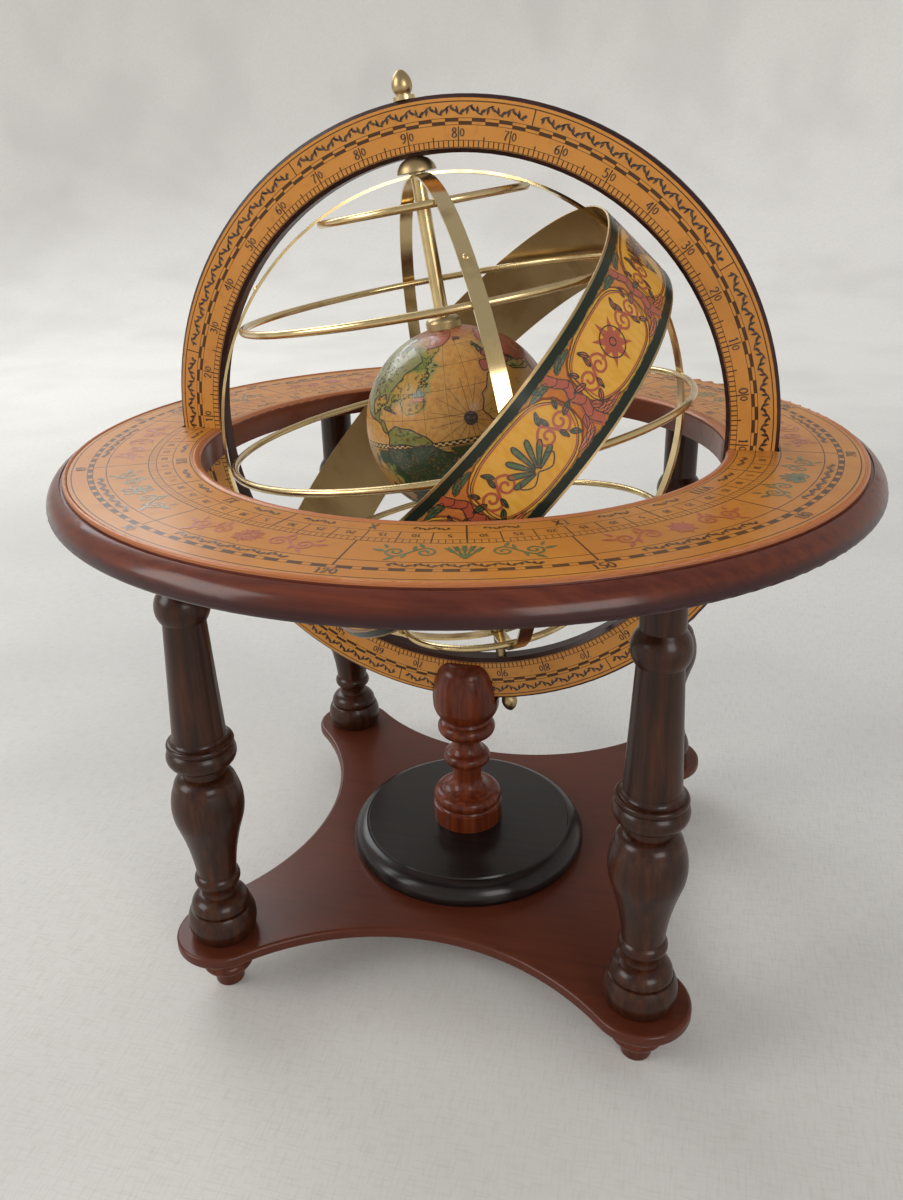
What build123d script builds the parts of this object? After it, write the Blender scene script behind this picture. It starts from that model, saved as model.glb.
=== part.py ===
from build123d import *
import math
import os

# Tabletop armillary sphere on a four-legged turned stand. Millimetres, +Z up.
# The origin is on the surface that the feet rest on, under the centre of the stand.
# The meridian ring stands in the XZ plane and its front faces -Y.

# Stand
foot_height = 21.5
foot_rim = 10.6                 # radius of the wide upper part of a foot
foot_toe = 5.9                  # radius that meets the table
plate_thickness = 5.0
plate_edge_round = 1.4
lobe_radius = 19.5
leg_length = 180.8
leg_ball = 13.9                 # largest radius of each turned form of a leg
leg_ring = 9.2
leg_vase = 14.2
leg_collar = 13.5
leg_bead = 10.2
leg_neck = 7.1
leg_inset = 17.9                # how far the legs stand outside the horizon ring's inner edge

# Horizon ring
horizon_gap = 0.7               # its inner edge is this much wider than the meridian ring's
horizon_thickness = 11.0
inner_rim = 3.6                 # light bead inside the chart
chart_width = 44.6
outer_rim = 1.7                 # light bead outside the chart
moulding_width = 6.7
paper = 0.2                     # thickness of every printed sheet

# Pedestal
disc_radius = 53.5
disc_step = 6.8                 # how far the flat top lies inside the edge
disc_thickness = 10.0
drum_radius = 15.8
head_radius = 14.8
pedestal_neck = 6.4
slot_depth = 17.2               # from the top of the head to the floor of its slot

# Meridian ring
ring_gap = 8.4                  # between the colure hoops and the inside of the ring
meridian_width = 19.3
meridian_thickness = 8.6        # wood only
meridian_bevel = 1.3
print_inset = 1.5               # bare wood inside the print
print_margin = 1.4              # bare wood outside the print
ring_rise = 3.5                 # its centre stands this much above the horizon chart
polar_tilt = 9.1                # degrees, the north pole leans towards -X

# Axis
rod_radius = 1.2
bush_radius = 2.0
tube_radius = 2.7
north_finial_radius = 3.75
north_finial_height = 8.8
south_finial_radius = 3.4
south_finial_height = 7.7
washer_radius = 4.0
washer_height = 1.4
cap_radius = 7.4
cap_boss = 0.5                  # height of the small boss that the cage turns against
spacer_radius = 2.1

# Cage
cage_radius = 93.5              # outside of the two colure hoops
cage_rise = 2.6                 # how far its centre sits above the ring's, along the axis
cage_turn = 24.5                # degrees about the axis, as it stands at rest
strip_width = 5.4
strip_thickness = 1.0
rod_ring_radius = 1.4           # of the round brass rod in the five parallels
tropic_latitude = 33.7
polar_latitude = 64.8
band_width = 33.2
band_thickness = 0.6
band_tilt = 37.9                # degrees between the band and the equator
band_border = 0.9               # bare brass left on each edge of the band
rivet_radius = 0.7
rivet_head = 1.3
rivet_head_height = 0.6
band_rivet_offset = 4.6         # degrees up the second colure, clear of the equator ring
closing_rivet_latitude = 44.0   # where each colure strip's two ends are riveted

# Globe
globe_radius = 37.5
globe_wall = 2.0
globe_lip = 1.6
collar_radius = 6.8
collar_wall = 2.6               # height of its straight side
collar_height = 4.0             # above the ball, at the tube

# Fasteners
screw_shank = 1.75
screw_head = 3.4
screw_head_height = 2.2
leg_screw_reach = 18.0          # into the leg
column_screw_reach = 20.0       # into the pedestal column
dowel_radius = 3.0
dowel_length = 16.0
dowel_in_horizon = 6.0

# Clearances
fit = 0.05                      # a rod or screw in its hole, each side
seat = 0.2                      # end gap of a turning piece
slide = 0.4                     # each side of the meridian ring in its slots
slot_floor_gap = 0.3            # under the meridian ring

# Worked out from the sizes above
meridian_inner = cage_radius + ring_gap
meridian_outer = meridian_inner + meridian_width
horizon_inner = meridian_inner + horizon_gap
chart_inner = horizon_inner + inner_rim
chart_outer = chart_inner + chart_width
horizon_outer = chart_outer + outer_rim + moulding_width
leg_circle = horizon_inner + leg_inset
leg_xy = leg_circle / math.sqrt(2)
plate_waist = 0.58 * leg_circle     # centre to the middle of each hollow edge
plate_top = foot_height + plate_thickness
leg_top = plate_top + leg_length
horizon_top = leg_top + horizon_thickness
column_bottom = plate_top + disc_thickness
meridian_z = horizon_top + ring_rise
slot_floor = meridian_z - meridian_outer - slot_floor_gap
head_top = slot_floor + slot_depth
meridian_depth = meridian_thickness + 2 * paper
slot_width = meridian_depth + 2 * slide
hoop_inner = cage_radius - strip_thickness
parallel_reach = hoop_inner - rod_ring_radius - fit
cage_top = cage_rise + cage_radius
cage_bottom = cage_rise - cage_radius
band_inner = cage_radius + 2 * fit
band_outer = band_inner + band_thickness
corners = {"front_left": (-1, -1), "front_right": (1, -1), "back_left": (-1, 1), "back_right": (1, 1)}


def outline(start, *steps):
    """Closed face from start: a step is an end point, or a (middle, end) pair for an arc."""
    edges = []
    here = start
    for step in steps:
        if isinstance(step[0], tuple):
            edges.append(ThreePointArc(here, step[0], step[1]))
            here = step[1]
        else:
            edges.append(Line(here, step))
            here = step
    edges.append(Line(here, start))
    return make_face(Curve() + edges)


def turned(start, *steps):
    """Solid turned about Z from an outline of (radius, height) points."""
    return revolve(Plane.XZ * outline(start, *steps), Axis.Z)


def between(radius, low, high):
    """Round bar on Z from one height to another."""
    return Pos(0, 0, low) * Cylinder(radius, high - low, align=(Align.CENTER, Align.CENTER, Align.MIN))


def sleeve(outer, inner, low, high):
    return between(outer, low, high) - between(inner, low - 1, high + 1)


def on_polar_axis(shape):
    """From a frame with Z along the polar axis, centred in the meridian ring."""
    return Pos(0, 0, meridian_z) * Rot(0, -polar_tilt, 0) * shape


def in_cage(shape):
    return on_polar_axis(Pos(0, 0, cage_rise) * Rot(0, 0, cage_turn) * shape)


def at_legs(shape):
    return {name: Pos(x * leg_xy, y * leg_xy, 0) * shape for name, (x, y) in corners.items()}


def group(shapes):
    return Compound(children=list(shapes))


# Stand

def base_plate():
    """Four round lobes joined by hollow arcs that are tangent to them."""
    lobe = Vector(leg_xy, -leg_xy)
    reach = plate_waist - lobe_radius
    arc_y = (leg_circle ** 2 - reach ** 2) / (2 * (leg_xy - reach))
    arc_centre = Vector(0, -arc_y)
    arc_radius = arc_y - plate_waist
    touch = arc_centre + (lobe - arc_centre).normalized() * arc_radius
    tip = lobe + lobe.normalized() * lobe_radius
    edges = []
    for quarter in range(4):
        turn = Rot(0, 0, 90 * quarter)
        edges.append(turn * ThreePointArc((-touch.X, touch.Y), (0, -plate_waist), (touch.X, touch.Y)))
        edges.append(turn * ThreePointArc((touch.X, touch.Y), (tip.X, tip.Y), (-touch.Y, -touch.X)))
    plate = Pos(0, 0, foot_height) * extrude(make_face(Curve() + edges), plate_thickness)
    rims = [plate.faces().sort_by(Axis.Z)[i].outer_wire().edges() for i in (0, -1)]
    plate = fillet(rims[0] + rims[1], plate_edge_round)
    for hole in at_legs(between(screw_shank + fit, foot_height - 1, plate_top + 1)).values():
        plate -= hole
    plate -= between(screw_head + 2 * fit, foot_height - 1, foot_height + screw_head_height + fit)
    return plate - between(screw_shank + fit, foot_height - 1, plate_top + 1)


def foot():
    """Turned foot: a tapered toe under a wide rim, with a ring against the plate."""
    def up(part):
        return part * foot_height
    body = turned(
        (0, 0),
        (0.86 * foot_toe, 0),
        ((0.96 * foot_toe, up(0.014)), (foot_toe, up(0.042))),
        (1.10 * foot_toe, up(0.30)),
        ((1.24 * foot_toe, up(0.38)), (0.91 * foot_rim, up(0.40))),
        ((foot_rim, up(0.485)), (0.94 * foot_rim, up(0.57))),
        (0.94 * foot_rim, up(0.84)),
        ((1.02 * foot_rim, up(0.92)), (0.94 * foot_rim, foot_height)),
        (0, foot_height),
    )
    body -= between(screw_head + 2 * fit, -1, screw_head_height + 0.4)
    return body - between(screw_shank + fit, -1, foot_height + 1)


def leg():
    """Turned leg, drawn up from the plate: ball, ring, vase, collar, tapered column, bead, neck."""
    def up(part):
        return plate_top + part * leg_length
    body = turned(
        (0, up(0)),
        (0.88 * leg_ball, up(0)),
        ((leg_ball, up(0.030)), (0.88 * leg_ball, up(0.070))),
        (0.80 * leg_ball, up(0.072)),
        (0.85 * leg_ball, up(0.076)),
        ((0.78 * leg_ball, up(0.094)), (leg_neck, up(0.108))),
        ((0.97 * leg_neck, up(0.119)), (0.83 * leg_ring, up(0.131))),
        ((leg_ring, up(0.147)), (0.86 * leg_ring, up(0.163))),
        ((0.67 * leg_vase, up(0.229)), (0.89 * leg_vase, up(0.295))),
        ((leg_vase, up(0.342)), (0.87 * leg_vase, up(0.396))),
        ((0.75 * leg_vase, up(0.415)), (0.59 * leg_vase, up(0.423))),
        (0.59 * leg_vase, up(0.447)),
        (0.84 * leg_collar, up(0.449)),
        ((leg_collar, up(0.470)), (0.92 * leg_collar, up(0.489))),
        (0.88 * leg_collar, up(0.492)),
        ((0.96 * leg_collar, up(0.499)), (0.89 * leg_collar, up(0.506))),
        ((0.80 * leg_collar, up(0.510)), (0.76 * leg_collar, up(0.522))),
        (0.78 * leg_bead, up(0.784)),
        (0.86 * leg_bead, up(0.786)),
        ((leg_bead, up(0.815)), (1.15 * leg_neck, up(0.848))),
        (1.07 * leg_neck, up(0.853)),
        (1.07 * leg_neck, leg_top),
        (0, leg_top),
    )
    body -= between(screw_shank + fit, plate_top - 1, plate_top + leg_screw_reach + fit)
    return body - between(dowel_radius + fit, leg_top - dowel_length + dowel_in_horizon, leg_top + 1)


def wood_screw(head_low, reach_high):
    """Wood screw standing head down."""
    neck = head_low + screw_head_height
    return turned(
        (0, head_low),
        (screw_head, head_low),
        (screw_head, neck),
        (screw_shank, neck),
        (screw_shank, reach_high - 2 * screw_shank),
        (0, reach_high),
    )


def leg_dowel():
    low = leg_top - dowel_length + dowel_in_horizon
    return between(dowel_radius, low, low + dowel_length)


def pedestal_disc():
    """Black disc with a wide rounded edge below a small step."""
    def up(part):
        return plate_top + part * disc_thickness
    top = up(1)
    step = disc_radius - disc_step
    body = turned(
        (0, up(0)),
        (disc_radius - 0.10 * disc_step, up(0)),
        (disc_radius, up(0.20)),
        ((disc_radius - 0.26 * disc_step, up(0.66)), (step + 0.12 * disc_step, up(0.93))),
        (step, up(0.93)),
        (step - 0.06 * disc_step, top),
        (0, top),
    )
    return body - between(screw_shank + fit, plate_top - 1, top + 1)


def pedestal_column():
    """Turned column with an egg-shaped head, slotted for the meridian ring."""
    height = head_top - column_bottom
    def up(part):
        return column_bottom + part * height
    body = turned(
        (0, up(0)),
        (drum_radius, up(0)),
        (drum_radius, up(0.098)),
        (0.95 * drum_radius, up(0.104)),
        (0.92 * drum_radius, up(0.113)),
        ((0.98 * drum_radius, up(0.138)), (0.80 * drum_radius, up(0.188))),
        ((1.17 * pedestal_neck, up(0.220)), (pedestal_neck, up(0.265))),
        (pedestal_neck, up(0.350)),
        (1.28 * pedestal_neck, up(0.355)),
        ((1.66 * pedestal_neck, up(0.395)), (1.25 * pedestal_neck, up(0.434))),
        ((pedestal_neck, up(0.462)), (1.03 * pedestal_neck, up(0.538))),
        (1.75 * pedestal_neck, up(0.550)),
        ((2.02 * pedestal_neck, up(0.592)), (1.66 * pedestal_neck, up(0.630))),
        (0.68 * head_radius, up(0.644)),
        ((0.91 * head_radius, up(0.688)), (head_radius, up(0.753))),
        ((0.98 * head_radius, up(0.850)), (0.86 * head_radius, up(0.932))),
        ((0.74 * head_radius, up(0.976)), (0.56 * head_radius, up(1))),
        (0, up(1)),
    )
    body -= Pos(0, 0, slot_floor) * Box(4 * head_radius, slot_width, 2 * slot_depth,
                                        align=(Align.CENTER, Align.CENTER, Align.MIN))
    return body - between(screw_shank + fit, column_bottom - 1, column_bottom + column_screw_reach + fit)


# Horizon ring

def meridian_notches(extra):
    """The two gaps that the meridian ring passes through."""
    end = meridian_outer + slide + extra
    start = meridian_inner - slide
    notch = Box(end - start, slot_width + 2 * extra, 4 * horizon_thickness)
    return [Pos(side * (start + end) / 2, 0, horizon_top) * notch for side in (-1, 1)]


def horizon_ring():
    """Wooden ring: light bead, chart bed, light bead, groove and a deep rounded moulding."""
    top = horizon_top
    low = leg_top
    bed = top - paper
    bead = chart_outer + outer_rim
    body = turned(
        (horizon_inner, low),
        (horizon_inner, top - 1.6),
        ((horizon_inner + 0.9, top - 0.1), (horizon_inner + 2.6, top + 0.3)),
        (chart_inner - fit, bed),
        (chart_outer + fit, bed),
        ((chart_outer + outer_rim / 2, top + 0.5), (bead, top - 0.6)),
        (bead + 0.3, top - 1.7),
        (bead + 1.1, top - 1.7),
        (bead + 1.3, top - 1.2),
        ((bead + 0.72 * moulding_width, top - 0.35 * horizon_thickness),
         (horizon_outer, top - 0.75 * horizon_thickness)),
        ((horizon_outer - 0.4, low + 0.8), (horizon_outer - 1.6, low)),
    )
    for notch in meridian_notches(0):
        body -= notch
    for hole in at_legs(between(dowel_radius + fit, low - 1, low + dowel_in_horizon + seat)).values():
        body -= hole
    return body


def horizon_chart():
    sheet = sleeve(chart_outer, chart_inner, horizon_top - paper, horizon_top)
    for notch in meridian_notches(fit):
        sheet -= notch
    return sheet


# Meridian ring and its axis

def meridian_ring():
    """Wooden ring with bevelled edges, bored through at both poles."""
    half = meridian_thickness / 2
    section = outline(
        (meridian_inner + meridian_bevel, -half),
        (meridian_outer - meridian_bevel, -half),
        (meridian_outer, meridian_bevel - half),
        (meridian_outer, half - meridian_bevel),
        (meridian_outer - meridian_bevel, half),
        (meridian_inner + meridian_bevel, half),
        (meridian_inner, half - meridian_bevel),
        (meridian_inner, meridian_bevel - half),
    )
    ring = Pos(0, 0, meridian_z) * Rot(90, 0, 0) * revolve(Plane.XZ * section, Axis.Z)
    bore = between(bush_radius + fit, meridian_inner - 5, meridian_outer + 5)
    return ring - on_polar_axis(bore) - on_polar_axis(Rot(180, 0, 0) * bore)


def meridian_chart(side):
    """Printed ring on one face of the meridian ring: side is -1 for the front."""
    half = meridian_thickness / 2
    sheet = sleeve(meridian_outer - print_margin, meridian_inner + print_inset, half, half + paper)
    return Pos(0, 0, meridian_z) * Rot(90 if side < 0 else -90, 0, 0) * sheet


def bush(pole):
    tube = sleeve(bush_radius, rod_radius + fit, meridian_inner + 3 * fit, meridian_outer - 3 * fit)
    return on_polar_axis(tube if pole > 0 else Rot(180, 0, 0) * tube)


def axis_rod():
    """One rod from the middle of the north finial to the middle of the south one."""
    north = meridian_outer + washer_height + north_finial_height / 2
    south = meridian_outer + south_finial_height / 2
    return on_polar_axis(between(rod_radius, -south, north))


def north_washer():
    low = meridian_outer + fit
    return on_polar_axis(sleeve(washer_radius, rod_radius + fit, low, low + washer_height))


def finial(low, height, radius, waist):
    """Acorn bored half way for the rod; its narrow end points outward."""
    acorn = turned(
        (0, low),
        (waist, low),
        (waist, low + 0.08 * height),
        ((0.93 * radius, low + 0.22 * height), (radius, low + 0.41 * height)),
        ((0.85 * radius, low + 0.68 * height), (0.50 * radius, low + 0.90 * height)),
        ((0.30 * radius, low + 0.97 * height), (0.08 * radius, low + height)),
        (0, low + height),
    )
    return acorn - between(rod_radius + fit, low - 1, low + height / 2 + 2 * fit)


def north_finial():
    low = meridian_outer + fit + washer_height
    return on_polar_axis(finial(low, north_finial_height, north_finial_radius, 0.72 * north_finial_radius))


def south_finial():
    acorn = finial(meridian_outer + fit, south_finial_height, south_finial_radius, 0.8 * south_finial_radius)
    return on_polar_axis(Rot(180, 0, 0) * acorn)


def north_cap():
    """Domed cap between the meridian ring and the cage, with a thrust boss under it."""
    top = meridian_inner - fit
    boss = cage_top + seat
    rim = boss + cap_boss
    dome = top - rim
    bore = rod_radius + fit
    return on_polar_axis(turned(
        (bore, boss),
        (bore + strip_width / 3, boss),
        (bore + strip_width / 3, rim),
        (cap_radius, rim),
        ((0.79 * cap_radius, rim + 0.66 * dome), (0.38 * cap_radius, top)),
        (bore, top),
    ))


def south_spacer():
    """Sleeve between the cage and the bottom of the meridian ring."""
    tube = sleeve(spacer_radius, rod_radius + fit, seat - cage_bottom, meridian_inner - fit)
    return on_polar_axis(Rot(180, 0, 0) * tube)


# Cage

def hoop():
    """Flat brass strip bent to a circle about Z."""
    half = strip_width / 2
    return sleeve(cage_radius, hoop_inner, -half, half)


def colures():
    """Two hoops that cross at the poles, half lapped and bored for the rod."""
    first = Rot(90, 0, 0) * hoop()
    second = Rot(0, 90, 0) * hoop()
    lap = hoop_inner + strip_thickness / 2
    lap_width = strip_width + 4 * fit
    above = Box(lap_width, lap_width, strip_thickness, align=(Align.CENTER, Align.CENTER, Align.MIN))
    below = Box(lap_width, lap_width, strip_thickness, align=(Align.CENTER, Align.CENTER, Align.MAX))
    for pole in (0, 180):
        first -= Rot(pole, 0, 0) * Pos(0, 0, lap) * below
        second -= Rot(pole, 0, 0) * Pos(0, 0, lap) * above
    bore = between(rod_radius + fit, -2 * cage_radius, 2 * cage_radius)
    first -= bore
    second -= bore
    for place in first_band_rivets() + [first_closing_rivet()]:
        first -= place * rivet_hole()
    for place in second_band_rivets() + [second_closing_rivet()]:
        second -= place * rivet_hole()
    return in_cage(first), in_cage(second)


def parallel(latitude):
    """Round brass rod ring inside the colures at one latitude."""
    angle = math.radians(latitude)
    ring = Torus(parallel_reach * math.cos(angle), rod_ring_radius)
    return in_cage(Pos(0, 0, parallel_reach * math.sin(angle)) * ring)


def band_sleeve(outer, inner, width):
    return Rot(0, -band_tilt, 0) * sleeve(outer, inner, -width / 2, width / 2)


def zodiac_band():
    band = band_sleeve(band_outer, band_inner, band_width)
    for place in first_band_rivets() + second_band_rivets():
        band -= place * rivet_hole()
    return in_cage(band)


def zodiac_chart():
    return in_cage(band_sleeve(band_outer + paper, band_outer, band_width - 2 * band_border))


# Rivets lie along X of their own frame, so a turn about Y raises them to a latitude.

def first_band_rivets():
    return [Rot(0, 0, turn) * Rot(0, side * band_tilt, 0) for turn, side in ((0, -1), (180, 1))]


def second_band_rivets():
    return [Rot(0, 0, turn) * Rot(0, -band_rivet_offset, 0) for turn in (90, -90)]


def first_closing_rivet():
    return Rot(0, 0, 180) * Rot(0, -closing_rivet_latitude, 0)


def second_closing_rivet():
    return Rot(0, 0, -90) * Rot(0, -closing_rivet_latitude, 0)


def rivet_hole():
    return Rot(0, 90, 0) * between(rivet_radius + fit, hoop_inner - 2, band_outer + 2)


def band_rivet():
    """Flush outside under the print, with its head inside the hoop."""
    shank = between(rivet_radius, hoop_inner - fit, band_outer - fit)
    head = between(rivet_head, hoop_inner - rivet_head_height - fit, hoop_inner - fit)
    return Rot(0, 90, 0) * (shank + head)


def closing_rivet():
    """Its low round head shows outside the hoop."""
    base = cage_radius + fit
    shank = between(rivet_radius, hoop_inner, base)
    head = turned(
        (0, base),
        (rivet_head, base),
        ((0.8 * rivet_head, base + 0.6 * rivet_head_height), (0.4 * rivet_head, base + rivet_head_height)),
        (0, base + rivet_head_height),
    )
    return Rot(0, 90, 0) * (shank + head)


def band_rivets():
    return group(in_cage(place * band_rivet()) for place in first_band_rivets() + second_band_rivets())


def colure_rivets():
    return group(in_cage(place * closing_rivet()) for place in (first_closing_rivet(), second_closing_rivet()))


# Globe

def globe_half(side):
    """Hollow half ball; the southern half has a lip that the northern half sits over."""
    inner = globe_radius - globe_wall
    lip_outer = inner - fit
    shell = Sphere(globe_radius) - Sphere(inner)
    keep = Pos(0, 0, side * globe_radius) * Box(3 * globe_radius, 3 * globe_radius, 2 * globe_radius)
    shell = shell & keep
    if side < 0:
        root = -globe_lip
        shell += sleeve(inner, lip_outer - 1.4, root - 1.2, root) + sleeve(lip_outer, lip_outer - 1.4, root, globe_lip)
    shell -= between(tube_radius + fit, -2 * globe_radius, 2 * globe_radius)
    return in_cage(shell)


def globe_tube():
    end = hoop_inner - seat
    return in_cage(sleeve(tube_radius, rod_radius + fit, -end, end))


def globe_collar(side):
    """Low domed brass cap seated on the ball."""
    rim = math.sqrt(globe_radius ** 2 - collar_radius ** 2)
    shoulder = rim + collar_wall
    top = globe_radius + collar_height
    crown = (collar_radius + tube_radius) / 2
    cap = turned(
        (tube_radius + fit, rim),
        (collar_radius, rim),
        (collar_radius, shoulder),
        ((0.90 * collar_radius, shoulder + 0.62 * (top - shoulder)), (crown, top)),
        (tube_radius + fit, top),
    )
    cap -= Sphere(globe_radius + fit)
    return in_cage(cap if side > 0 else Rot(180, 0, 0) * cap)


def all_nodes():
    nodes = {"base_plate": base_plate()}
    for name, shape in at_legs(foot()).items():
        nodes["foot_" + name] = shape
    for name, shape in at_legs(leg()).items():
        nodes["leg_" + name] = shape
    nodes["leg_screws"] = group(at_legs(wood_screw(0.4, plate_top + leg_screw_reach)).values())
    nodes["leg_dowels"] = group(at_legs(leg_dowel()).values())
    nodes["pedestal_disc"] = pedestal_disc()
    nodes["pedestal_column"] = pedestal_column()
    nodes["pedestal_screw"] = wood_screw(foot_height + fit, column_bottom + column_screw_reach)
    nodes["horizon_ring"] = horizon_ring()
    nodes["horizon_chart"] = horizon_chart()
    nodes["meridian_ring"] = meridian_ring()
    nodes["meridian_chart_front"] = meridian_chart(-1)
    nodes["meridian_chart_back"] = meridian_chart(1)
    nodes["north_bush"] = bush(1)
    nodes["south_bush"] = bush(-1)
    nodes["axis_rod"] = axis_rod()
    nodes["north_washer"] = north_washer()
    nodes["north_finial"] = north_finial()
    nodes["south_finial"] = south_finial()
    nodes["north_cap"] = north_cap()
    nodes["south_spacer"] = south_spacer()
    nodes["first_colure"], nodes["second_colure"] = colures()
    latitudes = {
        "arctic_ring": polar_latitude,
        "cancer_ring": tropic_latitude,
        "equator_ring": 0,
        "capricorn_ring": -tropic_latitude,
        "antarctic_ring": -polar_latitude,
    }
    for name, latitude in latitudes.items():
        nodes[name] = parallel(latitude)
    nodes["zodiac_band"] = zodiac_band()
    nodes["zodiac_chart"] = zodiac_chart()
    nodes["band_rivets"] = band_rivets()
    nodes["colure_rivets"] = colure_rivets()
    nodes["globe_north_half"] = globe_half(1)
    nodes["globe_south_half"] = globe_half(-1)
    nodes["globe_tube"] = globe_tube()
    nodes["globe_collar_north"] = globe_collar(1)
    nodes["globe_collar_south"] = globe_collar(-1)
    return nodes


os.makedirs("parts", exist_ok=True)
for node, solid in all_nodes().items():
    solid.label = node
    export_step(solid, os.path.join("parts", node + ".step"))
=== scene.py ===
import bmesh
import bpy
import copy
import math
import random
from mathutils import Matrix, Vector
from mathutils.geometry import tessellate_polygon


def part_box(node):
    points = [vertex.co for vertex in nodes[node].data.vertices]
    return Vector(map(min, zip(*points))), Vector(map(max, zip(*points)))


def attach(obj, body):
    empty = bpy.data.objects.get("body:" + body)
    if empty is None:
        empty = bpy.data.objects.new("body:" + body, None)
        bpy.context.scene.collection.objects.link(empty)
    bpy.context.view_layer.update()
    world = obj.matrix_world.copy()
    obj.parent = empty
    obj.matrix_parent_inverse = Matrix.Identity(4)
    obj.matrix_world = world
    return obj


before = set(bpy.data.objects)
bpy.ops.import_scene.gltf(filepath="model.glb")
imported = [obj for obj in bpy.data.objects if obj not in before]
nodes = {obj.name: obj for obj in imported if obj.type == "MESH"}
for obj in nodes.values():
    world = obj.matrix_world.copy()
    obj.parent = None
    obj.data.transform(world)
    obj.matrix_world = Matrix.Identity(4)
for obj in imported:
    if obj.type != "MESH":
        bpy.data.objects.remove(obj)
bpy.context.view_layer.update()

# Sizes, in millimetres, that follow the CAD solids
mm = 0.001
horizon_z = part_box("horizon_chart")[1].z / mm
chart_inner = 106.2
chart_outer = 150.8
meridian_z = (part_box("meridian_ring")[0].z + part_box("meridian_ring")[1].z) / 2 / mm
meridian_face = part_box("meridian_chart_back")[1].y / mm
polar_tilt = math.radians(9.1)
cage_rise = 2.6
cage_turn = math.radians(24.5)
band_tilt = math.radians(37.9)
band_radius = 94.4
globe_radius = 37.5

# Frames of the turning parts, as matrices from their own millimetres to the scene
to_ring = Matrix.Translation((0, 0, meridian_z)) @ Matrix.Rotation(-polar_tilt, 4, "Y")
to_cage = to_ring @ Matrix.Translation((0, 0, cage_rise)) @ Matrix.Rotation(cage_turn, 4, "Z")
to_band = to_cage @ Matrix.Rotation(-band_tilt, 4, "Y")


class Val:
    """A number in a material's node tree, with ordinary arithmetic."""

    def __init__(self, tree, socket):
        self.tree = tree
        self.socket = socket

    def op(self, operation, *others):
        node = self.tree.nodes.new("ShaderNodeMath")
        node.operation = operation
        for slot, item in zip(node.inputs, (self,) + others):
            if isinstance(item, Val):
                self.tree.links.new(item.socket, slot)
            else:
                slot.default_value = item
        return Val(self.tree, node.outputs[0])

    def __add__(self, other):
        return self.op("ADD", other)

    def __sub__(self, other):
        return self.op("SUBTRACT", other)

    def __mul__(self, other):
        return self.op("MULTIPLY", other)

    def __truediv__(self, other):
        return self.op("DIVIDE", other)

    def above(self, level):
        return self.op("GREATER_THAN", level)

    def below(self, level):
        return self.op("LESS_THAN", level)

    def within(self, low, high):
        return self.above(low) * self.below(high)

    def near(self, level, width):
        return (self - level).op("ABSOLUTE").below(width / 2)

    def fract(self):
        return self.op("FRACT")

    def either(self, other):
        return self.op("MAXIMUM", other)

    def ramp(self, low, high, to_low=0.0, to_high=1.0):
        node = self.tree.nodes.new("ShaderNodeMapRange")
        node.interpolation_type = "SMOOTHSTEP"
        self.tree.links.new(self.socket, node.inputs["Value"])
        node.inputs["From Min"].default_value = low
        node.inputs["From Max"].default_value = high
        node.inputs["To Min"].default_value = to_low
        node.inputs["To Max"].default_value = to_high
        return Val(self.tree, node.outputs["Result"])


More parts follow.
